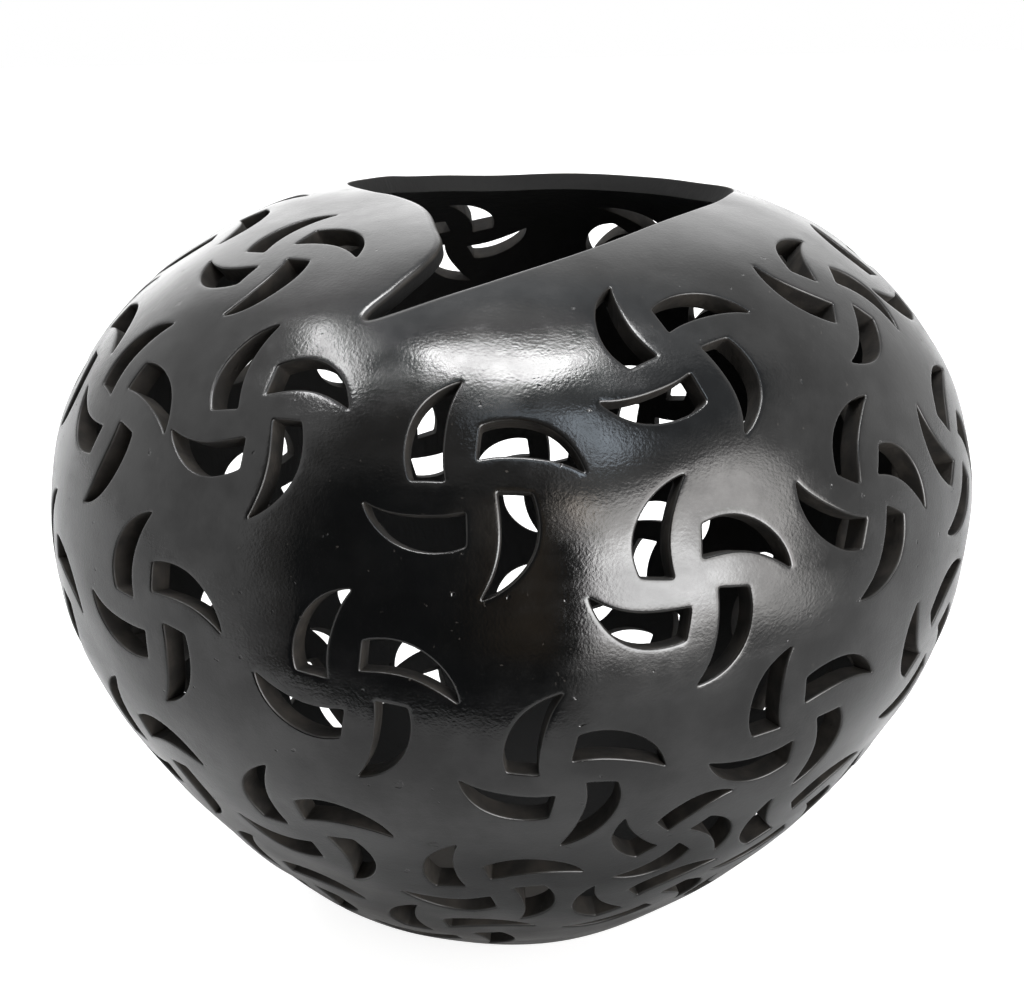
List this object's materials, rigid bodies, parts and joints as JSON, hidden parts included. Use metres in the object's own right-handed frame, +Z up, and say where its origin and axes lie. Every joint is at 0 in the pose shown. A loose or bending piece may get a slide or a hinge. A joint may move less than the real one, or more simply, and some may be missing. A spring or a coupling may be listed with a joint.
{
  "type": "pierced clay pot",
  "caption": "Round burnished black clay pot, its wall pierced all over by rows of curved four-armed pinwheels, with a spiral mouth and a lobed lip.",
  "frame": {"origin": "on the floor under the middle of the body, at the bottom centre of the bounding box", "axes": "+Z up along the pot's axis; -Y is the front, where the lip's notch and slanting edge face; +X is to the right of the front"},
  "size_m": [0.3314, 0.3314, 0.276],
  "materials": {
    "burnished_clay": "burnished",
    "base_clay": "matte"
  },
  "bodies": {
    "root": {"foot_slab": "base_clay", "lower_bowl": "burnished_clay", "belly_course": "burnished_clay", "shoulder_course": "burnished_clay", "mouth_course": "burnished_clay"}
  },
  "joints": []
}
